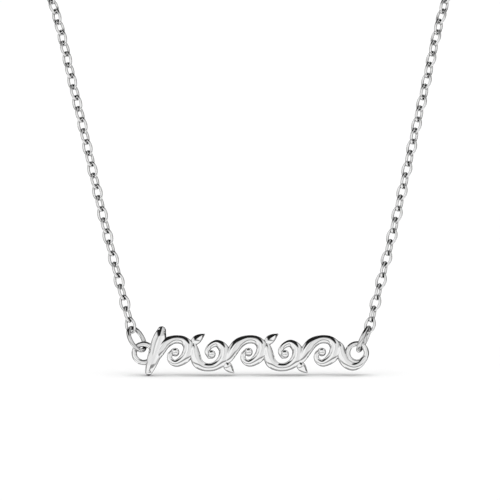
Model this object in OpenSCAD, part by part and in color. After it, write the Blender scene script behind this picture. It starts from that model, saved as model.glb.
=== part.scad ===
// Nameplate necklace: a cast scrollwork nameplate between two fine cable chains,
// with a plain clasp at the nape. Millimetres, +Z up, the front towards -Y.
// The origin is the point of the nape on which the clasp lies.

/* [Nameplate] */
// width of one scroll, from joint to joint
scroll_pitch = 5.5; // [5.2:0.05:5.8]
// number of scrolls in the row
scroll_count = 5; // [4:1:6]
// height of the row of scrolls
scroll_h = 5.5; // [5:0.1:6]
// how far the row's middle hangs below the end rings
row_drop = 0; // [0:0.05:0.3]
// width of a stroke at its widest
stroke_w = 1.6; // [1.35:0.05:1.7]
// depth of the upright wall of the widest stroke
wall_h = 0.7; // [0.5:0.05:0.9]
// rise of the rounded face over that wall
dome_h = 0.55; // [0.4:0.05:0.7]
// how far the strokes slant to the right, in degrees off upright
slant = 11; // [6:1:14]
// height of the tall leaf at the left end
leaf_h = 6.9; // [6.4:0.1:7.4]
// width of the tall leaf
leaf_w = 2.1; // [1.8:0.1:2.3]
// how far the tall leaf's root hangs below the row of scrolls
leaf_drop = 0.25; // [0:0.05:0.4]
// how far the nameplate leans back, as on a chest
lean = 15; // [8:1:20]

/* [End rings] */
// outer diameter of the rings soldered behind the ends
ring_d = 3.6; // [3.4:0.1:4]
// thickness of their wire
ring_wire = 0.8; // [0.7:0.05:0.85]
// from a ring's centre to the nearest joint of the scrolls
ring_reach = 2.25; // [2:0.05:2.5]
// outer length of the oval rings that join the chain to the nameplate
jump_l = 4.4; // [4.1:0.1:4.6]
// outer width of those oval rings
jump_w = 4; // [3.7:0.1:4.3]
// thickness of their wire
jump_wire = 0.65; // [0.4:0.05:0.7]
// how far they lean outwards off upright, in degrees
jump_lean = 26; // [20:1:30]
// how far the left one is turned about its length
jump_turn_left = 54; // [50:1:75]
// how far the right one is turned about its length
jump_turn_right = 82; // [60:1:85]
// play where a chain or oval ring hangs in a ring or eye
hook_play = 0.18; // [0.14:0.01:0.2]

/* [Chain] */
// distance from link to link
link_pitch = 1.76; // [1.7:0.02:2]
// outer width of a link
link_w = 1.8; // [1.66:0.02:1.9]
// thickness of a link's wire
link_wire = 0.4; // [0.28:0.01:0.42]
// play between two links or rings that hang in each other
link_play = 0.12; // [0.12:0.01:0.16]
// how far the left chain's first link is turned out of line, in degrees
first_turn_left = 4; // [0:1:30]
// how far the right chain's first link is turned out of line, in degrees
first_turn_right = 42; // [30:1:50]

/* [Clasp] */
// outer diameter of the clasp's ring
clasp_d = 5.5; // [5:0.1:6.5]
// thickness of that ring
clasp_wire = 1; // [0.8:0.05:1.1]
// outer diameter of the eye on the clasp
eye_d = 2.4; // [2.2:0.1:2.8]
// thickness of the eye's wire
eye_wire = 0.5; // [0.4:0.05:0.6]
// outer diameter of the ring that the clasp closes on
catch_d = 3.4; // [3.2:0.1:4]
// thickness of that ring
catch_wire = 0.5; // [0.4:0.05:0.6]

/* [Hidden] */
// how far the nameplate's middle hangs in front of the nape and below it
plate_front = 107;
plate_fall = 117;
plate_at = [0, -plate_front, -plate_fall];
// a point within the neck, from which the links face outwards
neck_y = -64;
// chosen points that the left chain runs through, from the nameplate up to the nape
chain_route = [
    [-21.9, -102.0, -97.6],
    [-26.1, -97.4, -79.5],
    [-30.6, -91.0, -62.5],
    [-40.0, -77.0, -41.0],
    [-49.5, -56.0, -21.5],
    [-50.5, -34.5, -9.0],
    [-41.5, -14.5, -2.6],
    [-26.0, -2.6, -0.4],
    [-13.0, 1.0, 0]
];

// Columns: place along a scroll's pitch, height in the row, width of the stroke,
// each a share of its own size. The stroke leaves the scroll before it, climbs,
// goes over the crest and curls inwards.
SCROLL = [
    [-0.34, 0.2, 0.5],
    [-0.2, 0.24, 0.62],
    [-0.08, 0.36, 0.82],
    [0.01, 0.57, 1],
    [0.13, 0.77, 0.96],
    [0.35, 0.88, 0.74],
    [0.61, 0.85, 0.78],
    [0.79, 0.66, 1.04],
    [0.76, 0.4, 0.98],
    [0.55, 0.23, 0.66],
    [0.37, 0.3, 0.5],
    [0.315, 0.45, 0.48],
    [0.4, 0.575, 0.46]
];
// rows at the start of that table that lie in the scroll before
join_rows = 2;
// where the round eye in which a scroll ends lies, and its size
EYE = [0.45, 0.53, 0.74];
// the tail that runs from the last scroll round the right ring, same columns
TAIL = [
    [-0.34, 0.2, 0.5],
    [-0.2, 0.24, 0.62],
    [-0.08, 0.36, 0.82],
    [0.02, 0.58, 0.92],
    [0.17, 0.78, 0.86],
    [0.37, 0.87, 0.72],
    [0.54, 0.8, 0.64],
    [0.65, 0.63, 0.56]
];
// the small leaf in the fork of two scrolls, same columns
LEAF = [
    [0.84, 0.68, 0.3],
    [0.89, 0.79, 0.64],
    [0.97, 0.88, 0.78],
    [1.06, 0.96, 0.54],
    [1.15, 1.03, 0.1]
];
// Columns: height along the tall leaf, place across it from its root, width,
// each a share of the leaf's height, height and width.
TALL_LEAF = [
    [0.03, 0.01, 0.5],
    [0.16, 0.053, 0.72],
    [0.38, 0.13, 0.92],
    [0.62, 0.205, 1],
    [0.8, 0.258, 0.9],
    [0.93, 0.292, 0.62]
];
// how far the tall leaf's root lies left of the first joint, in leaf heights
leaf_root = 0.225;

// steps between two rows of a table
stroke_steps = 3;
leaf_steps = 2;
// degrees between two points across a stroke's rounded face
face_step = 30;
// where the half circle of a stroke's end is stepped, in degrees off its start
end_turns = [25, 50, 80];
// share of the face that rises straight to a ridge instead of round
stroke_ridge = 0.25;
leaf_ridge = 0.5;
// share of its height that the thinnest stroke would still have
low_share = 0.45;
// the most that the face of a wide leaf rises, in rises of the widest stroke
most_rise = 1.2;
// width of a small leaf's flattened ridge
ridge_w = 0.1;
// sides of the soldered rings, of their wire and of the round eyes
ring_sides = 40;
wire_sides = 12;
eye_sides = 24;
// steps between two points of a chain's route
route_steps = 24;
// links over which the first link's turn fades out
turn_fade = 30;

// sides of all other circles, where a drawing can't have them true
$fn = 32;

row_w = scroll_count * scroll_pitch;
row_x = -row_w / 2;
ring_x = row_w / 2 + ring_reach;
link_l = link_pitch + 2 * link_wire + link_play;
// the clasp and its ring lie against the nape, the plane where Y is 0
clasp_y = max(catch_d, clasp_wire) / 2;

// a point of a smooth curve through the rows p0 to p3, between p1 and p2
function curve(p0, p1, p2, p3, t) =
    0.5 * (2 * p1 + (p2 - p0) * t + (2 * p0 - 5 * p1 + 4 * p2 - p3) * t * t
        + (3 * p1 - p0 - 3 * p2 + p3) * t * t * t);

// the rows of a table with steps between them on that curve
function smooth(rows, steps) =
    let (n = len(rows))
    let (padded = concat([2 * rows[0] - rows[1]], rows, [2 * rows[n - 1] - rows[n - 2]]))
    concat(
        [for (i = [0:n - 2], k = [0:steps - 1])
            curve(padded[i], padded[i + 1], padded[i + 2], padded[i + 3], k / steps)],
        [rows[n - 1]]);

function unit(v) = v / norm(v);
function flat(p) = [p.x, p.y];
// the direction of a curve at row i
function heading(rows, i) =
    unit(flat(rows[min(i + 1, len(rows) - 1)]) - flat(rows[max(i - 1, 0)]));

// height of the wall of a stroke of width w, thin strokes lie lower
function wall(w) = wall_h * (low_share + (1 - low_share) * min(w / stroke_w, 1));
// rise of a stroke's face at q degrees across it, as a share of its rise in the middle
function crown(q, ridge) = (1 - ridge) * sin(q) + ridge * (1 - abs(cos(q)));

// a step at q degrees round the end of a stroke that points the way away
function end_step(row, ahead, away, q) =
    [flat(row) + away * row.z / 2 * sin(q), row.z * cos(q), wall(row.z), ahead];

// sections of a stroke with its round ends: point, width, height of the wall, heading
function sections(rows) =
    let (n = len(rows), first = heading(rows, 0), last = heading(rows, n - 1))
    concat(
        [for (i = [len(end_turns) - 1:-1:0]) end_step(rows[0], first, -first, end_turns[i])],
        [for (i = [0:n - 1]) [flat(rows[i]), rows[i].z, wall(rows[i].z), heading(rows, i)]],
        [for (q = end_turns) end_step(rows[n - 1], last, last, q)]);

// points of one section, from the foot of one wall over the face to the foot of the other
function section_points(section, ridge) =
    let (side = [section[3].y, -section[3].x] * section[1] / 2)
    let (dome = dome_h * min(section[1] / stroke_w, most_rise))
    let (face = [for (q = [0:face_step:180]) [cos(q), section[2] + dome * crown(q, ridge)]])
    [for (p = concat([[1, 0]], face, [[-1, 0]]))
        let (at = section[0] + side * p.x) [at.x, at.y, p.y]];

// a stroke with a flat back, upright walls and a rounded or ridged face
module stroke(rows, ridge) {
    outlines = [for (section = sections(rows)) section_points(section, ridge)];
    n = len(outlines);
    m = len(outlines[0]);
    points = [for (outline = outlines, p = outline) p];
    faces = concat(
        [[for (k = [m - 1:-1:0]) k]],
        [for (i = [0:n - 2], k = [0:m - 1])
            let (j = (k + 1) % m)
            for (f = [
                [i * m + k, (i + 1) * m + j, (i + 1) * m + k],
                [i * m + k, i * m + j, (i + 1) * m + j]]) f],
        [[for (k = [0:m - 1]) (n - 1) * m + k]]);
    polyhedron(points, faces);
}

// a row of a table placed in the scroll with number k, every second one upside down
function placed(k, row) =
    let (up = (k % 2 == 0 ? row.y : 1 - row.y) * scroll_h - scroll_h / 2)
    [row_x + (k + row.x) * scroll_pitch + up * tan(slant), up - row_drop, row.z * stroke_w];

// a scroll and its round eye, the first scroll without the rows that would join it on
module scroll(k) {
    start = k > 0 ? 0 : join_rows;
    rows = [for (i = [start:len(SCROLL) - 1]) placed(k, SCROLL[i])];
    eye = placed(k, EYE);
    stroke(smooth(rows, stroke_steps), stroke_ridge);
    hull() {
        translate(flat(eye)) cylinder(h = wall_h, d = eye.z, $fn = eye_sides);
        translate([eye.x, eye.y, wall_h])
            intersection() {
                scale([1, 1, 2 * dome_h / eye.z]) sphere(d = eye.z, $fn = eye_sides);
                translate([-eye.z, -eye.z, 0]) cube([2 * eye.z, 2 * eye.z, eye.z]);
            }
    }
}

module small_leaf(k) {
    rows = smooth([for (row = LEAF) placed(k, row)], leaf_steps);
    for (i = [0:len(rows) - 2])
        hull()
            for (row = [rows[i], rows[i + 1]]) {
                top = wall(row.z) + dome_h * row.z / stroke_w;
                translate(flat(row)) {
                    cylinder(h = wall(row.z), d = row.z, $fn = wire_sides);
                    cylinder(h = top, d = ridge_w, $fn = wire_sides);
                }
            }
}

module tall_leaf() {
    root = [row_x - leaf_root * leaf_h, -scroll_h / 2 - row_drop - leaf_drop];
    rows = [for (row = TALL_LEAF) [root.x + row.y * leaf_h, root.y + row.x * leaf_h, row.z * leaf_w]];
    stroke(smooth(rows, stroke_steps), leaf_ridge);
}

module tail() {
    stroke(smooth([for (row = TAIL) placed(scroll_count, row)], stroke_steps), stroke_ridge);
}

// puts what is drawn flat, face up, where the nameplate hangs
module hung() {
    translate(plate_at) rotate([90 - lean, 0, 0]) children();
}

module nameplate() {
    color("silver") hung() {
        tall_leaf();
        for (k = [0:scroll_count - 1]) {
            scroll(k);
        }
        for (k = [0:scroll_count - 2]) {
            small_leaf(k);
        }
        tail();
        for (side = [-1, 1]) {
            translate([side * ring_x, 0, ring_wire / 2])
                rotate_extrude($fn = ring_sides)
                    translate([(ring_d - ring_wire) / 2, 0]) circle(d = ring_wire, $fn = wire_sides);
        }
    }
}

// an oval of round wire in the XY plane, its length along X
module oval(l, w, wire) {
    for (side = [-1, 1]) {
        translate([side * (l - w) / 2, 0, 0])
            rotate([0, 0, -90 * side])
                rotate_extrude(angle = 180) translate([(w - wire) / 2, 0]) circle(d = wire);
        translate([-(l - w) / 2, side * (w - wire) / 2, 0])
            rotate([0, 90, 0]) cylinder(h = l - w, d = wire);
    }
}

// a ring of round wire in the XY plane
module wire_ring(d, wire) {
    rotate_extrude() translate([(d - wire) / 2, 0]) circle(d = wire);
}

// puts a shape at a point, its length the way along and its face turned from out by turn
module aimed(at, along, out, turn) {
    face = unit(out - along * (out * along));
    normal = face * cos(turn) + cross(face, along) * sin(turn);
    side = cross(normal, along);
    multmatrix([
        [along.x, side.x, normal.x, at.x],
        [along.y, side.y, normal.y, at.y],
        [along.z, side.z, normal.z, at.z]])
        children();
}

// the middle of a soldered ring where it hangs, side is -1 left and 1 right
function ring_at(side) = plate_at + [side * ring_x, 0, 0] + plate_face * ring_wire / 2;
plate_face = [0, -cos(lean), sin(lean)];

// the way that an oval ring leads from its soldered ring
function jump_aim(side) =
    [side * sin(jump_lean), cos(jump_lean) * sin(lean), cos(jump_lean) * cos(lean)];
jump_seat = ring_d / 2 - ring_wire - hook_play - jump_wire + jump_l / 2;
function jump_at(side) = ring_at(side) + jump_seat * jump_aim(side);

// the middle of a link that hangs with play in an eye of round wire: eye is the middle of
// that wire and goal the point that the link runs to
function hooked(eye, wire, goal) =
    eye + (link_l / 2 - link_wire - wire / 2 - hook_play) * unit(goal - eye);
function mirrored(side, p) = [-side * p.x, p.y, p.z];
function first_link(side) =
    hooked(jump_at(side) + (jump_l - jump_wire) / 2 * jump_aim(side), jump_wire,
        mirrored(side, chain_route[0]));

module jump_ring_left() {
    color("silver")
        aimed(jump_at(-1), jump_aim(-1), plate_face, -jump_turn_left) oval(jump_l, jump_w, jump_wire);
}

module jump_ring_right() {
    color("silver")
        aimed(jump_at(1), jump_aim(1), plate_face, -jump_turn_right) oval(jump_l, jump_w, jump_wire);
}

// the eye and the catch ring sit left and right of the clasp's ring
eye_x = (clasp_d + eye_d - clasp_wire) / 2;
catch_x = (clasp_d + catch_d) / 2 - clasp_wire - catch_wire - hook_play;
function last_link(side) =
    let (wire = side < 0 ? eye_wire : catch_wire)
    let (reach = side < 0 ? eye_x + (eye_d - wire) / 2 : catch_x + (catch_d - wire) / 2)
    hooked([side * reach, clasp_y, 0], wire, mirrored(side, chain_route[len(chain_route) - 1]));

// finely stepped points of a chain, from the nameplate to the nape
function route(side) =
    smooth(concat([first_link(side)], [for (p = chain_route) mirrored(side, p)], [last_link(side)]),
        route_steps);
// the distance along those points up to each of them
function run_lengths(points) =
    [for (i = 0, s = 0; i < len(points);
        i = i + 1, s = s + (i < len(points) ? norm(points[i] - points[i - 1]) : 0)) s];
function at_length(runs, points, s) =
    [for (c = [0:2]) lookup(s, [for (i = [0:len(points) - 1]) [runs[i], points[i][c]]])];

// links of alternate turn, so many that the last one lies square to what it hangs in
module chain(side) {
    points = route(side);
    runs = run_lengths(points);
    whole = runs[len(runs) - 1];
    first_turn = side < 0 ? first_turn_left : first_turn_right;
    // the left chain's first link faces outwards and so does the right chain's last one
    start = side < 0 ? 0 : 1;
    gaps = 2 * round((whole / link_pitch - 1) / 2) + 1;
    pitch = whole / gaps;
    for (i = [0:gaps]) {
        at = at_length(runs, points, i * pitch);
        ahead = at_length(runs, points, min((i + 0.5) * pitch, whole));
        behind = at_length(runs, points, max((i - 0.5) * pitch, 0));
        out = [at.x, at.y - neck_y, 0];
        turn = 90 * ((i + start) % 2) - side * first_turn * max(0, 1 - i / turn_fade);
        aimed(at, unit(ahead - behind), out, turn) oval(link_l, link_w, link_wire);
    }
}

module chain_left() {
    color("silver") chain(-1);
}

module chain_right() {
    color("silver") chain(1);
}

// the clasp stands upright behind the neck, its eye soldered to its ring
module clasp() {
    color("silver")
        translate([0, clasp_y, 0]) rotate([90, 0, 0]) {
            wire_ring(clasp_d, clasp_wire);
            translate([-eye_x, 0, 0]) wire_ring(eye_d, eye_wire);
        }
}

module catch_ring() {
    color("silver")
        translate([catch_x, clasp_y, 0]) wire_ring(catch_d, catch_wire);
}

nameplate();
jump_ring_left();
jump_ring_right();
chain_left();
chain_right();
clasp();
catch_ring();
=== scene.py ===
import math

import bpy
import numpy as np
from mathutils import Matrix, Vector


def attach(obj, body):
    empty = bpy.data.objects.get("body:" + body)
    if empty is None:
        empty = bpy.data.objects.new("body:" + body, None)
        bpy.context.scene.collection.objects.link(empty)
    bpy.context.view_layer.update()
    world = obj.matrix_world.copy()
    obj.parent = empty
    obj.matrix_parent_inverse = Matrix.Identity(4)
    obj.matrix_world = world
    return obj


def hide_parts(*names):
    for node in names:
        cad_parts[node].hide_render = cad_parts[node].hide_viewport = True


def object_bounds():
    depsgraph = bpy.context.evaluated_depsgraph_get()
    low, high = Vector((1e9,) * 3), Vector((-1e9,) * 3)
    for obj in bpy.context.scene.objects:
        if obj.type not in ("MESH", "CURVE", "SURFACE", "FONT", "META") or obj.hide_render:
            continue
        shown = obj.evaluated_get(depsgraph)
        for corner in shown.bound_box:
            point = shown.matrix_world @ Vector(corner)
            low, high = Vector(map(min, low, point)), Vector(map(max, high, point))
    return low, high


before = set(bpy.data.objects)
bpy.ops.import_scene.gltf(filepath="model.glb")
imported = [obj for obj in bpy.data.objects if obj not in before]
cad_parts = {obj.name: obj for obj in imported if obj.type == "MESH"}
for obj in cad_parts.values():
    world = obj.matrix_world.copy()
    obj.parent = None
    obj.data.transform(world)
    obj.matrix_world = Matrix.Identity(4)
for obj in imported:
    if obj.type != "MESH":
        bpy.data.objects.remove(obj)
cad_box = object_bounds()

# Everything below is in millimetres in the row frame and goes to metres when a mesh is made.
MM = 0.001

# Nameplate
SCROLL_PITCH = 5.5
SCROLL_COUNT = 5
SCROLL_H = 5.5
ROW_DROP = 0
STROKE_W = 1.6
WALL_H = 0.7
DOME_H = 0.55
SLANT = 11
LEAF_H = 6.9
LEAF_W = 2.1
LEAF_DROP = 0.25
LEAN = 15

# End rings and oval rings
RING_D = 3.6
RING_WIRE = 0.8
RING_REACH = 2.25
JUMP_L = 4.4
JUMP_W = 4
JUMP_WIRE = 0.65
JUMP_LEAN = 26
JUMP_TURN = {-1: -54, 1: -82}
HOOK_PLAY = 0.18

# Chain
LINK_PITCH = 1.76
LINK_W = 1.8
LINK_WIRE = 0.4
LINK_PLAY = 0.12
FIRST_TURN = {-1: 4, 1: 42}
TURN_FADE = 30

# Clasp
CLASP_D = 5.5
CLASP_WIRE = 1
EYE_D = 2.4
EYE_WIRE = 0.5
CATCH_D = 3.4
CATCH_WIRE = 0.5

# Where the nameplate hangs, the middle of the neck, and the left chain's chosen points
PLATE_AT = np.array([0, -107, -117])
NECK_Y = -64
CHAIN_ROUTE = [
    (-21.9, -102.0, -97.6),
    (-26.1, -97.4, -79.5),
    (-30.6, -91.0, -62.5),
    (-40.0, -77.0, -41.0),
    (-49.5, -56.0, -21.5),
    (-50.5, -34.5, -9.0),
    (-41.5, -14.5, -2.6),
    (-26.0, -2.6, -0.4),
    (-13.0, 1.0, 0),
]

# Columns: place along a scroll's pitch, height in the row, width of the stroke,
# each a share of its own size. The first rows of a scroll join it to the one before.
SCROLL = [
    (-0.34, 0.2, 0.5),
    (-0.2, 0.24, 0.62),
    (-0.08, 0.36, 0.82),
    (0.01, 0.57, 1),
    (0.13, 0.77, 0.96),
    (0.35, 0.88, 0.74),
    (0.61, 0.85, 0.78),
    (0.79, 0.66, 1.04),
    (0.76, 0.4, 0.98),
    (0.55, 0.23, 0.66),
    (0.37, 0.3, 0.5),
    (0.315, 0.45, 0.48),
    (0.4, 0.575, 0.46),
]
JOIN_ROWS = 2
EYE = (0.45, 0.53, 0.74)
TAIL = [
    (-0.34, 0.2, 0.5),
    (-0.2, 0.24, 0.62),
    (-0.08, 0.36, 0.82),
    (0.02, 0.58, 0.92),
    (0.17, 0.78, 0.86),
    (0.37, 0.87, 0.72),
    (0.54, 0.8, 0.64),
    (0.65, 0.63, 0.56),
]
LEAF = [
    (0.84, 0.68, 0.3),
    (0.89, 0.79, 0.64),
    (0.97, 0.88, 0.78),
    (1.06, 0.96, 0.54),
    (1.15, 1.03, 0.1),
]
# Columns: height along the tall leaf, place across it, width, shares of its height and width.
# LEAF_ROOT is how far left of the row its foot lies, as a share of its height.
TALL_LEAF = [
    (0.03, 0.01, 0.5),
    (0.16, 0.053, 0.72),
    (0.38, 0.13, 0.92),
    (0.62, 0.205, 1),
    (0.8, 0.258, 0.9),
    (0.93, 0.292, 0.62),
]
LEAF_ROOT = 0.225

# Section of a stroke: how far its face is a ridge, the share of the wall that the thinnest
# stroke keeps, and the most that a wide stroke's face rises, as a share of DOME_H
STROKE_RIDGE = 0.25
LEAF_RIDGE = 0.5
LOW_SHARE = 0.45
MOST_RISE = 1.2

# How fine the shown meshes are. Round ends and domes stop at CAP_DEG, short of their pole.
STROKE_STEPS = 9
FACE_STEPS = 22
CAP_STEPS = 7
CAP_DEG = 84
EYE_SIDES = 48
EYE_LEVELS = 12
ROUTE_STEPS = 24
LINK_STEPS = 32
LINK_SIDES = 12
RING_STEPS = 96
RING_SIDES = 28
CREASE_DEG = 30
NO_CREASE_DEG = 180

# Each slot's silver: name, tone, roughness from and to, strength of its scratches, and how
# open a crease is, from 0 to 1, where its painted shade is still black and where it is bright
FINISHES = {
    "cast_silver": ("polished_casting", 0.93, (0.05, 0.12), 0.25, (0.45, 0.6)),
    "wire_silver": ("polished_wire", 0.76, (0.08, 0.16), 0.35, (0.45, 0.6)),
    "chain_silver": ("polished_links", 0.92, (0.1, 0.2), 0.35, (0.62, 0.74)),
}
# Shade painted into creases: how far off in mm other metal darkens them, and its darkest tone
CREASE_SHADE_REACH = 0.5
CREASE_SHADE_TONE = 0.01
CREASE_SHADE_SAMPLES = 6
# Uneven polish: its noise as scale and detail, and the span of it that counts. Scratches: their
# noise as scale and detail, how it is stretched, and their depth in mm.
POLISH = (900, 3)
POLISH_SPAN = (0.35, 0.7)
SCRATCH = (1, 4)
SCRATCH_STRETCH = (9000, 1500, 2500)
SCRATCH_DEPTH = 0.002
# The nameplate's flat back: its roughness, its tone as a share of the face's, and how straight
# back a spot faces, as a cosine, from where it counts as back and where it is all back
BACK_ROUGH = 0.35
BACK_TONE = 0.8
BACK_SPAN = (0.9, 0.97)

# Camera: the photograph's scale in mm to the pixel and its width, and where the nameplate's
# middle lies in it. The clip distances are in metres.
PIXEL = 0.15
PHOTO_W = 500
PLATE_PIXEL = (250.3, 353.6)
CAMERA_DISTANCE = 900
CAMERA_ELEVATION = 4
CAMERA_AZIMUTH = -0.8
SENSOR = 36
CLIP = (0.01, 100)

# Floor: how far under the necklace it lies, its two tones, the scale and detail of the noise
# between them, and how far from metal its painted contact shadow still darkens it
FLOOR_SIZE = 12000
FLOOR_GAP = 0.03
FLOOR_TONES = (0.89, 0.91)
FLOOR_CLOUD = (3, 2)
FLOOR_ROUGH = 0.9
CONTACT_SHADOW_REACH = 3
CONTACT_SHADOW_SAMPLES = 8

# The lamp above: its light, how wide it spreads and how far it stands back, in degrees
OVERHEAD = 2.7
OVERHEAD_SPREAD = 120
OVERHEAD_TILT = 12

# The tent round the necklace: the light of its grey cloth
TENT = 0.5
# Cards and flags in the tent: light, then the spans of X, Y and Z of the way towards it that
# each covers, as low end, high end and softness. A later one lies over those before it.
CARDS = [
    (0.6, ((-1.2, 1.2, 0.1), (-1.2, -0.3, 0.2), (0.2, 1.2, 0.15))),
    (0.95, ((-1.2, 1.2, 0.1), (-1.2, -0.2, 0.2), (-0.12, 0.28, 0.12))),
    (0.95, ((-0.6, -0.28, 0.1), (-1.2, 0, 0.2), (-0.5, 0.9, 0.1))),
    (0.8, ((0.15, 0.6, 0.2), (-1.2, 0, 0.2), (-0.5, 0.9, 0.1))),
    (0.85, ((-1.2, -0.7, 0.1), (-0.6, 0.2, 0.15), (0.3, 0.8, 0.15))),
    (0.95, ((-1.2, 1.2, 0.1), (-1.2, 0.97, 0.1), (-1.2, -0.4, 0.1))),
    (0.16, ((-1.2, 1.2, 0.1), (0.42, 1.2, 0.1), (-0.5, 1.2, 0.1))),
    (0.25, ((-0.7, 0.7, 0.2), (-1.2, -0.6, 0.1), (-0.34, -0.2, 0.06))),
    (0.05, ((-0.7, 0.7, 0.1), (-0.25, 0.25, 0.1), (-1.2, -0.85, 0.06))),
    (0.015, ((-0.62, 0.35, 0.12), (-0.5, 0.9, 0.08), (0.42, 1.2, 0.08))),
    (0.3, ((-1.2, -0.9, 0.05), (-0.2, 0.12, 0.08), (-0.4, 0.3, 0.1))),
    (0.04, ((0.5, 1.2, 0.08), (-0.2, 0.8, 0.1), (-0.12, 0.45, 0.1))),
]

RING_X = SCROLL_COUNT * SCROLL_PITCH / 2 + RING_REACH
ROW_X = -SCROLL_COUNT * SCROLL_PITCH / 2
LINK_L = LINK_PITCH + 2 * LINK_WIRE + LINK_PLAY
CLASP_Y = max(CATCH_D / 2, CLASP_WIRE / 2)
EYE_X = (CLASP_D + EYE_D - CLASP_WIRE) / 2
CATCH_X = CLASP_D / 2 - CLASP_WIRE + CATCH_D / 2 - CATCH_WIRE - HOOK_PLAY


def sin_deg(angle):
    return math.sin(math.radians(angle))


def cos_deg(angle):
    return math.cos(math.radians(angle))


def unit(v):
    return v / np.linalg.norm(v)


def smooth(rows, steps):
    """Points of a smooth curve through the rows, with steps between each two of them."""
    rows = [np.array(row, float) for row in rows]
    padded = [2 * rows[0] - rows[1], *rows, 2 * rows[-1] - rows[-2]]
    points = []
    for a, b, c, d in zip(padded, padded[1:], padded[2:], padded[3:]):
        for k in range(steps):
            t = k / steps
            bend = (2 * a - 5 * b + 4 * c - d) * t**2 + (3 * b - a - 3 * c + d) * t**3
            points.append(0.5 * (2 * b + (c - a) * t + bend))
    return np.array([*points, rows[-1]])


def make_object(name, points, faces):
    """A mesh object from points in millimetres."""
    mesh = bpy.data.meshes.new(name)
    mesh.from_pydata((np.asarray(points) * MM).tolist(), [], faces)
    mesh.update()
    obj = bpy.data.objects.new(name, mesh)
    bpy.context.scene.collection.objects.link(obj)
    return obj


def grid_faces(rows, columns, around_rows=False):
    """Quads of a grid of points that closes on itself across, and along too if around_rows."""
    faces = []
    for i in range(rows if around_rows else rows - 1):
        for k in range(columns):
            j = (k + 1) % columns
            n = (i + 1) % rows
            faces.append((i * columns + k, n * columns + k, n * columns + j, i * columns + j))
    return faces


def shade(obj, angle):
    """Smooth faces, with edges sharper than angle left as creases."""
    mesh = obj.data
    mesh.polygons.foreach_set("use_smooth", [True] * len(mesh.polygons))
    mesh.set_sharp_from_angle(angle=math.radians(angle))
    mesh.update()


# Nameplate


def hung(points):
    """Flat drawn points (across, up, towards the viewer) where the nameplate hangs."""
    x, up, out = np.asarray(points, float).T
    y = up * sin_deg(LEAN) - out * cos_deg(LEAN)
    z = up * cos_deg(LEAN) + out * sin_deg(LEAN)
    return PLATE_AT + np.stack([x, y, z], axis=1)


def cap(at, outward, width):
    """Points and widths of a stroke's round end, from its row outwards."""
    turns = np.radians(np.linspace(0, CAP_DEG, CAP_STEPS + 1))[1:]
    return [(at + outward * width / 2 * math.sin(q), width * math.cos(q)) for q in turns]


def stations(rows):
    """A stroke's rows with round ends: points, widths, heights of the wall as a share, headings."""
    flat = rows[:, :2]
    ahead = np.vstack([flat[1:], flat[-1:]]) - np.vstack([flat[:1], flat[:-1]])
    headings = ahead / np.linalg.norm(ahead, axis=1)[:, None]
    widths = rows[:, 2]
    shares = LOW_SHARE + (1 - LOW_SHARE) * np.minimum(widths / STROKE_W, 1)
    lead = reversed(cap(flat[0], -headings[0], widths[0]))
    trail = cap(flat[-1], headings[-1], widths[-1])
    line = [(p, w, shares[0], headings[0]) for p, w in lead]
    line += list(zip(flat, widths, shares, headings))
    line += [(p, w, shares[-1], headings[-1]) for p, w in trail]
    return line


def stroke(name, rows, ridge):
    """A stroke with a flat back, upright walls and a rounded or ridged face."""
    face = np.radians(np.linspace(0, 180, FACE_STEPS + 1))
    crown = (1 - ridge) * np.sin(face) + ridge * (1 - np.abs(np.cos(face)))
    points = []
    line = stations(rows)
    for at, width, share, heading in line:
        side = np.array([heading[1], -heading[0]])
        top = WALL_H * share + DOME_H * min(width / STROKE_W, MOST_RISE) * crown
        across = np.concatenate([[1], np.cos(face), [-1]]) * width / 2
        up = np.concatenate([[0], top, [0]])
        points += [(*(at + side * s), h) for s, h in zip(across, up)]
    columns = len(crown) + 2
    faces = grid_faces(len(line), columns)
    last = (len(line) - 1) * columns
    faces.append(tuple(range(columns)))
    faces.append(tuple(last + k for k in reversed(range(columns))))
    return make_object(name, hung(points), faces)


def placed(k, row):
    """A row of a table in the scroll with number k, every second one upside down."""
    up = (row[1] if k % 2 == 0 else 1 - row[1]) * SCROLL_H - SCROLL_H / 2
    across = ROW_X + (k + row[0]) * SCROLL_PITCH + up * math.tan(math.radians(SLANT))
    return across, up - ROW_DROP, row[2] * STROKE_W


def round_eye(name, k):
    """The round end of a scroll: an upright wall under a dome."""
    x, up, width = placed(k, EYE)
    turns = np.radians(np.linspace(0, 360, EYE_SIDES, endpoint=False))
    rises = np.radians(np.linspace(0, CAP_DEG, EYE_LEVELS))
    levels = [(0, 1), *((WALL_H + DOME_H * math.sin(q), math.cos(q)) for q in rises)]
    points = [
        (x + width / 2 * r * math.cos(a), up + width / 2 * r * math.sin(a), h)
        for h, r in levels
        for a in turns
    ]
    last = (len(levels) - 1) * EYE_SIDES
    faces = [tuple(reversed(face)) for face in grid_faces(len(levels), EYE_SIDES)]
    faces.append(tuple(reversed(range(EYE_SIDES))))
    faces.append(tuple(last + k for k in range(EYE_SIDES)))
    return make_object(name, hung(points), faces)


def sweep_ring(name, line, sides_a, sides_b, wire, count):
    """A closed tube of round wire along a line, sides_a and sides_b spanning its section."""
    turns = np.radians(np.linspace(0, 360, count, endpoint=False))
    points = [
        at + wire / 2 * (math.cos(q) * a + math.sin(q) * b)
        for at, a, b in zip(line, sides_a, sides_b)
        for q in turns
    ]
    return make_object(name, points, grid_faces(len(line), count, around_rows=True))


def wire_ring(name, centre, u, v, diameter, wire):
    """A ring of round wire in the plane of u and v."""
    turns = np.radians(np.linspace(0, 360, RING_STEPS, endpoint=False))
    outward = [math.cos(q) * u + math.sin(q) * v for q in turns]
    line = [centre + (diameter - wire) / 2 * o for o in outward]
    normal = np.cross(u, v)
    return sweep_ring(name, line, outward, [normal] * len(line), wire, RING_SIDES)


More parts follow.
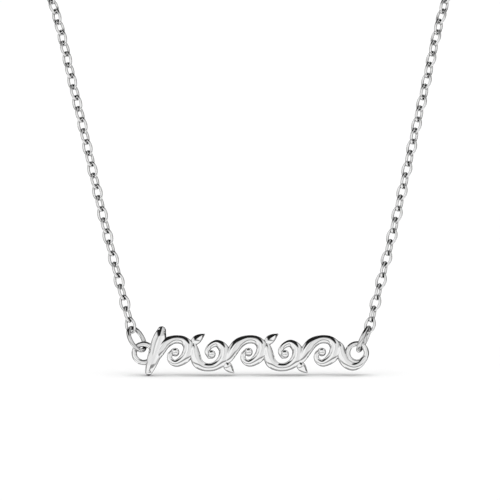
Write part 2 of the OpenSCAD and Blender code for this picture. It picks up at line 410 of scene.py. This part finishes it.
def joined(name, parts):
    """One closed mesh from overlapping closed ones."""
    base = parts[0]
    base.name = name
    base.data.name = name
    for part in parts[1:]:
        cut = base.modifiers.new("union", "BOOLEAN")
        cut.operation = "UNION"
        cut.solver = "MANIFOLD"
        cut.object = part
    depsgraph = bpy.context.evaluated_depsgraph_get()
    mesh = bpy.data.meshes.new_from_object(base.evaluated_get(depsgraph))
    base.modifiers.clear()
    base.data = mesh
    for part in parts[1:]:
        bpy.data.objects.remove(part)
    return base


def nameplate():
    """One casting of tall leaf, scrolls, round eyes, leaves in the forks, tail and end rings."""
    root = (ROW_X - LEAF_ROOT * LEAF_H, -SCROLL_H / 2 - ROW_DROP - LEAF_DROP)
    tall = [(root[0] + a * LEAF_H, root[1] + u * LEAF_H, w * LEAF_W) for u, a, w in TALL_LEAF]
    parts = [stroke("tall_leaf", smooth(tall, STROKE_STEPS), LEAF_RIDGE)]
    for k in range(SCROLL_COUNT):
        rows = [placed(k, row) for row in (SCROLL if k else SCROLL[JOIN_ROWS:])]
        parts.append(stroke(f"scroll_{k}", smooth(rows, STROKE_STEPS), STROKE_RIDGE))
        parts.append(round_eye(f"eye_{k}", k))
    for k in range(SCROLL_COUNT - 1):
        rows = [placed(k, row) for row in LEAF]
        parts.append(stroke(f"leaf_{k}", smooth(rows, STROKE_STEPS), LEAF_RIDGE))
    rows = [placed(SCROLL_COUNT, row) for row in TAIL]
    parts.append(stroke("tail", smooth(rows, STROKE_STEPS), STROKE_RIDGE))
    across = np.array([1.0, 0, 0])
    upward = np.array([0, sin_deg(LEAN), cos_deg(LEAN)])
    for side in (-1, 1):
        centre = hung([(side * RING_X, 0, RING_WIRE / 2)])[0]
        parts.append(wire_ring(f"end_ring_{side}", centre, across, upward, RING_D, RING_WIRE))
    obj = joined("cast_nameplate", parts)
    shade(obj, CREASE_DEG)
    return obj


# Rings and chains


def jump_aim(side):
    """The way in which an oval ring runs up and outwards from its end ring."""
    up = cos_deg(JUMP_LEAN)
    return np.array([side * sin_deg(JUMP_LEAN), up * sin_deg(LEAN), up * cos_deg(LEAN)])


def jump_at(side):
    """The middle of an oval ring, which hangs in its end ring with play."""
    seat = RING_D / 2 - RING_WIRE - HOOK_PLAY - JUMP_WIRE + JUMP_L / 2
    return hung([(side * RING_X, 0, RING_WIRE / 2)])[0] + seat * jump_aim(side)


def mirrored(side, point):
    """A point of the left chain, on the given side."""
    return np.array([-side * point[0], point[1], point[2]])


def hooked(eye, wire, goal):
    """The middle of a link that hangs with play in an eye of round wire and runs to goal."""
    return eye + (LINK_L / 2 - LINK_WIRE - wire / 2 - HOOK_PLAY) * unit(goal - eye)


def first_link(side):
    """The middle of the link that hangs in the oval ring."""
    eye = jump_at(side) + (JUMP_L - JUMP_WIRE) / 2 * jump_aim(side)
    return hooked(eye, JUMP_WIRE, mirrored(side, CHAIN_ROUTE[0]))


def last_link(side):
    """The left chain ends in the clasp's eye and the right one in the catch ring."""
    x, diameter, wire = (EYE_X, EYE_D, EYE_WIRE) if side < 0 else (CATCH_X, CATCH_D, CATCH_WIRE)
    eye = np.array([side * (x + (diameter - wire) / 2), CLASP_Y, 0])
    return hooked(eye, wire, mirrored(side, CHAIN_ROUTE[-1]))


def aimed(at, along, out, turn):
    """A 3 by 4 placement: its length along, its face turned from out by turn."""
    face = unit(out - along * np.dot(out, along))
    normal = face * cos_deg(turn) + np.cross(face, along) * sin_deg(turn)
    return np.stack([along, np.cross(normal, along), normal, at], axis=1)


def oval_points(length, width, wire, steps, sides):
    """Points of an oval of round wire in the XY plane, its length along X.

    Two tight arcs make its ends and two wide ones its sides. Their centres are the corners
    of 3-4-5 triangles, so that the arcs run into each other without a corner.
    """
    share = (length - width) / 4
    turns = np.radians(np.linspace(0, 360, sides, endpoint=False))
    points = []
    for q in np.radians(np.linspace(0, 360, steps, endpoint=False) + 180 / steps):
        outward = np.array([math.cos(q), math.sin(q), 0])
        if abs(math.cos(q)) > 3 / 5:
            centre = np.array([math.copysign(3 * share, math.cos(q)), 0, 0])
            radius = (width - wire) / 2 - share
        else:
            centre = np.array([0, -math.copysign(4 * share, math.sin(q)), 0])
            radius = (width - wire) / 2 + 4 * share
        middle = centre + radius * outward
        for turn in turns:
            section = math.cos(turn) * outward + np.array([0, 0, math.sin(turn)])
            points.append(middle + wire / 2 * section)
    return np.array(points)


def ovals(name, places, size, steps, sides):
    """One mesh of ovals of round wire at the given places."""
    shape = oval_points(*size, steps, sides)
    faces = np.array(grid_faces(steps, sides, around_rows=True))
    points = np.vstack([shape @ place[:, :3].T + place[:, 3] for place in places])
    all_faces = np.vstack([faces + i * len(shape) for i in range(len(places))])
    obj = make_object(name, points, all_faces.tolist())
    shade(obj, NO_CREASE_DEG)
    return obj


def jump_ring(name, side):
    """An oval ring, turned about its length from the nameplate's face."""
    facing = np.array([0, -cos_deg(LEAN), sin_deg(LEAN)])
    place = aimed(jump_at(side), jump_aim(side), facing, JUMP_TURN[side])
    return ovals(name, [place], (JUMP_L, JUMP_W, JUMP_WIRE), RING_STEPS, RING_SIDES)


def chain(name, side):
    """Links of alternate turn, so many that the last lies square to what it hangs in."""
    route = [first_link(side), *(mirrored(side, p) for p in CHAIN_ROUTE), last_link(side)]
    points = smooth(route, ROUTE_STEPS)
    runs = np.concatenate([[0], np.cumsum(np.linalg.norm(np.diff(points, axis=0), axis=1))])
    whole = runs[-1]

    def at_length(s):
        """The point of the route at length s along it."""
        return np.array([np.interp(s, runs, points[:, c]) for c in range(3)])

    # the left chain's first link faces outwards and so does the right chain's last one
    start = 0 if side < 0 else 1
    gaps = 2 * round((whole / LINK_PITCH - 1) / 2) + 1
    pitch = whole / gaps
    places = []
    for i in range(gaps + 1):
        at = at_length(i * pitch)
        ahead = at_length(min((i + 0.5) * pitch, whole))
        behind = at_length(max((i - 0.5) * pitch, 0))
        turn = 90 * ((i + start) % 2) - side * FIRST_TURN[side] * max(0, 1 - i / TURN_FADE)
        outwards = np.array([at[0], at[1] - NECK_Y, 0])
        places.append(aimed(at, unit(ahead - behind), outwards, turn))
    return ovals(name, places, (LINK_L, LINK_W, LINK_WIRE), LINK_STEPS, LINK_SIDES)


def clasp():
    """A plain ring that lies flat on the nape, with the left chain's eye on it."""
    across = np.array([1.0, 0, 0])
    upward = np.array([0, 0, 1.0])
    middle = np.array([0, CLASP_Y, 0])
    ring = wire_ring("clasp_ring", middle, across, upward, CLASP_D, CLASP_WIRE)
    eye = wire_ring("clasp_eye", middle - EYE_X * across, across, upward, EYE_D, EYE_WIRE)
    obj = joined("plain_clasp", [ring, eye])
    shade(obj, CREASE_DEG)
    return obj


def catch_ring():
    """The ring that hangs in the clasp, square to it, and holds the right chain."""
    across = np.array([1.0, 0, 0])
    outward = np.array([0, 1.0, 0])
    middle = np.array([CATCH_X, CLASP_Y, 0])
    obj = wire_ring("round_catch_ring", middle, across, outward, CATCH_D, CATCH_WIRE)
    shade(obj, NO_CREASE_DEG)
    return obj


# Materials


def put(links, socket, value):
    """Gives a socket a plain number or a link."""
    if isinstance(value, (int, float)):
        socket.default_value = value
    else:
        links.new(value, socket)


def ramped(tree, value, span, reach, kind="LINEAR"):
    """The value carried from span to reach, level outside."""
    node = tree.nodes.new("ShaderNodeMapRange")
    node.interpolation_type = kind
    for name, number in zip(("From Min", "From Max", "To Min", "To Max"), (*span, *reach)):
        put(tree.links, node.inputs[name], number)
    tree.links.new(value, node.inputs["Value"])
    return node.outputs["Result"]


def noise(tree, vector, grain):
    """Noise of the given scale and detail."""
    node = tree.nodes.new("ShaderNodeTexNoise")
    node.inputs["Scale"].default_value, node.inputs["Detail"].default_value = grain
    tree.links.new(vector, node.inputs["Vector"])
    return node.outputs["Fac"]


def tones(tree, value, stops):
    """Greys between two stops, each a value and its tone."""
    node = tree.nodes.new("ShaderNodeValToRGB")
    for element, (position, tone) in zip(node.color_ramp.elements, stops):
        element.position = position
        element.color = (tone, tone, tone, 1)
    tree.links.new(value, node.inputs["Fac"])
    return node.outputs["Color"]


def openness(tree, reach, samples):
    """A node that tells how little lies within reach of each spot."""
    node = tree.nodes.new("ShaderNodeAmbientOcclusion")
    node.samples = samples
    node.inputs["Distance"].default_value = reach * MM
    return node


def node_material(name):
    """A new material, its node tree, its shader and the place on the object."""
    material = bpy.data.materials.new(name)
    material.use_nodes = True
    tree = material.node_tree
    place = tree.nodes.new("ShaderNodeTexCoord")
    return material, tree, tree.nodes["Principled BSDF"], place


def silver(name, tone, rough, scratch, crease_shade_span):
    """Polished silver: uneven polish, fine scratches and shade painted dark into creases."""
    material, tree, shader, place = node_material(name)
    shader.inputs["Metallic"].default_value = 1

    polish = noise(tree, place.outputs["Object"], POLISH)
    tree.links.new(ramped(tree, polish, POLISH_SPAN, rough), shader.inputs["Roughness"])

    # Painted shade: the base colour goes black where other metal lies close, in creases and
    # crossings
    crease_shade = openness(tree, CREASE_SHADE_REACH, CREASE_SHADE_SAMPLES).outputs["AO"]
    grey = tones(tree, crease_shade, ((crease_shade_span[0], CREASE_SHADE_TONE), (crease_shade_span[1], tone)))
    tree.links.new(grey, shader.inputs["Base Color"])

    stretch = tree.nodes.new("ShaderNodeMapping")
    stretch.inputs["Scale"].default_value = SCRATCH_STRETCH
    tree.links.new(place.outputs["Object"], stretch.inputs["Vector"])
    bump = tree.nodes.new("ShaderNodeBump")
    bump.inputs["Strength"].default_value = scratch
    bump.inputs["Distance"].default_value = SCRATCH_DEPTH * MM
    tree.links.new(noise(tree, stretch.outputs["Vector"], SCRATCH), bump.inputs["Height"])
    tree.links.new(bump.outputs["Normal"], shader.inputs["Normal"])
    return material


def leave_back_as_cast(material):
    """Makes what faces straight back rougher and greyer than the polished rest."""
    tree = material.node_tree
    shader = tree.nodes["Principled BSDF"]
    polished_rough = shader.inputs["Roughness"].links[0].from_socket
    polished_tone = shader.inputs["Base Color"].links[0].from_socket
    place = tree.nodes.new("ShaderNodeTexCoord")
    facing = tree.nodes.new("ShaderNodeVectorMath")
    facing.operation = "DOT_PRODUCT"
    facing.inputs[1].default_value = (0, cos_deg(LEAN), -sin_deg(LEAN))
    tree.links.new(place.outputs["Normal"], facing.inputs[0])
    rough = ramped(tree, facing.outputs["Value"], BACK_SPAN, (polished_rough, BACK_ROUGH))
    tree.links.new(rough, shader.inputs["Roughness"])
    share = ramped(tree, facing.outputs["Value"], BACK_SPAN, (1, BACK_TONE))
    grey = tree.nodes.new("ShaderNodeVectorMath")
    grey.operation = "SCALE"
    tree.links.new(polished_tone, grey.inputs[0])
    tree.links.new(share, grey.inputs["Scale"])
    tree.links.new(grey.outputs["Vector"], shader.inputs["Base Color"])


def pale_floor():
    """A white tabletop of faintly changing tone, with a shadow painted in close to what stands on
    it.
    """
    material, tree, shader, place = node_material("pale_floor")
    shader.inputs["Roughness"].default_value = FLOOR_ROUGH
    shader.inputs["Specular IOR Level"].default_value = 0
    cloud = noise(tree, place.outputs["Object"], FLOOR_CLOUD)
    # Painted contact shadow: the floor's colour darkens where metal lies within reach
    contact_shadow = openness(tree, CONTACT_SHADOW_REACH, CONTACT_SHADOW_SAMPLES)
    white = tones(tree, cloud, ((0, FLOOR_TONES[0]), (1, FLOOR_TONES[1])))
    tree.links.new(white, contact_shadow.inputs["Color"])
    tree.links.new(contact_shadow.outputs["Color"], shader.inputs["Base Color"])
    return material


# Camera, floor and light


def camera():
    """Long lens at the photograph's height over the floor, centred as the photograph is."""
    lens = bpy.data.cameras.new("camera")
    obj = bpy.data.objects.new("camera", lens)
    bpy.context.scene.collection.objects.link(obj)
    bpy.context.scene.camera = obj
    lens.sensor_width = SENSOR
    lens.lens = SENSOR * CAMERA_DISTANCE / (PHOTO_W * PIXEL)
    lens.clip_start, lens.clip_end = CLIP
    pitch = math.radians(CAMERA_ELEVATION)
    yaw = math.radians(CAMERA_AZIMUTH)
    right = np.array([math.cos(yaw), math.sin(yaw), 0])
    level = np.array([-math.sin(yaw), math.cos(yaw), 0])
    look = level * math.cos(pitch) - np.array([0, 0, math.sin(pitch)])
    up = np.cross(right, look)
    offset = [PHOTO_W / 2 - PLATE_PIXEL[0], PLATE_PIXEL[1] - PHOTO_W / 2]
    target = PLATE_AT + PIXEL * (offset[0] * right + offset[1] * up)
    obj.location = (target - look * CAMERA_DISTANCE) * MM
    obj.rotation_euler = (math.pi / 2 - pitch, 0, yaw)


def floor(height):
    """A plain floor, kept out of the silver, where a card of light stands in for it."""
    half = FLOOR_SIZE / 2
    turned = ((-1, -1), (1, -1), (1, 1), (-1, 1))
    corners = [(half * x, half * y, height) for x, y in turned]
    obj = make_object("floor", corners, [(0, 1, 2, 3)])
    obj.data.materials.append(pale_floor())
    obj.visible_glossy = False


def studio():
    """A grey tent with the light cards and dark flags of CARDS laid over it in turn."""
    world = bpy.data.worlds.new("studio")
    bpy.context.scene.world = world
    world.use_nodes = True
    tree = world.node_tree
    way = tree.nodes.new("ShaderNodeTexCoord")
    parts = tree.nodes.new("ShaderNodeSeparateXYZ")
    tree.links.new(way.outputs["Generated"], parts.inputs["Vector"])

    def maths(kind, a, b):
        """One step of arithmetic on two numbers or links."""
        node = tree.nodes.new("ShaderNodeMath")
        node.operation = kind
        for socket, value in zip(node.inputs, (a, b)):
            put(tree.links, socket, value)
        return node.outputs["Value"]

    def band(socket, low, high, soft):
        """1 between low and high, falling to 0 over soft."""
        rise = ramped(tree, socket, (low - soft, low), (0, 1), "SMOOTHSTEP")
        fall = ramped(tree, socket, (high, high + soft), (1, 0), "SMOOTHSTEP")
        return maths("MULTIPLY", rise, fall)

    light = TENT
    for card, spans in CARDS:
        mask = 1
        for socket, span in zip(parts.outputs, spans):
            mask = maths("MULTIPLY", mask, band(socket, *span))
        kept = maths("MULTIPLY", light, maths("SUBTRACT", 1, mask))
        light = maths("ADD", kept, maths("MULTIPLY", mask, card))
    tree.links.new(light, tree.nodes["Background"].inputs["Color"])


def overhead():
    """A wide soft light from above that lights the floor and isn't seen in the silver."""
    lamp = bpy.data.lights.new("overhead", "SUN")
    lamp.energy = OVERHEAD
    lamp.angle = math.radians(OVERHEAD_SPREAD)
    obj = bpy.data.objects.new("overhead", lamp)
    obj.rotation_euler = (-math.radians(OVERHEAD_TILT), 0, 0)
    obj.visible_glossy = False
    bpy.context.scene.collection.objects.link(obj)


camera()
lowest = cad_box[0][2] / MM
floor(lowest - FLOOR_GAP)
studio()
overhead()
bpy.context.scene.view_settings.view_transform = "Standard"

materials = {slot: silver(*finish) for slot, finish in FINISHES.items()}
leave_back_as_cast(materials["cast_silver"])

pieces = [
    (nameplate(), "nameplate", "cast_silver"),
    (jump_ring("oval_ring_left", -1), "jump_ring_left", "wire_silver"),
    (jump_ring("oval_ring_right", 1), "jump_ring_right", "wire_silver"),
    (chain("links_left", -1), "chain_left", "chain_silver"),
    (chain("links_right", 1), "chain_right", "chain_silver"),
    (clasp(), "clasp", "wire_silver"),
    (catch_ring(), "catch_ring", "wire_silver"),
]
for piece, node, slot in pieces:
    material = materials[slot]
    piece.data.materials.clear()
    piece.data.materials.append(material)
    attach(piece, "root")
    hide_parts(node)
    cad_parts[node].data.materials.clear()
    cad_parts[node].data.materials.append(material)
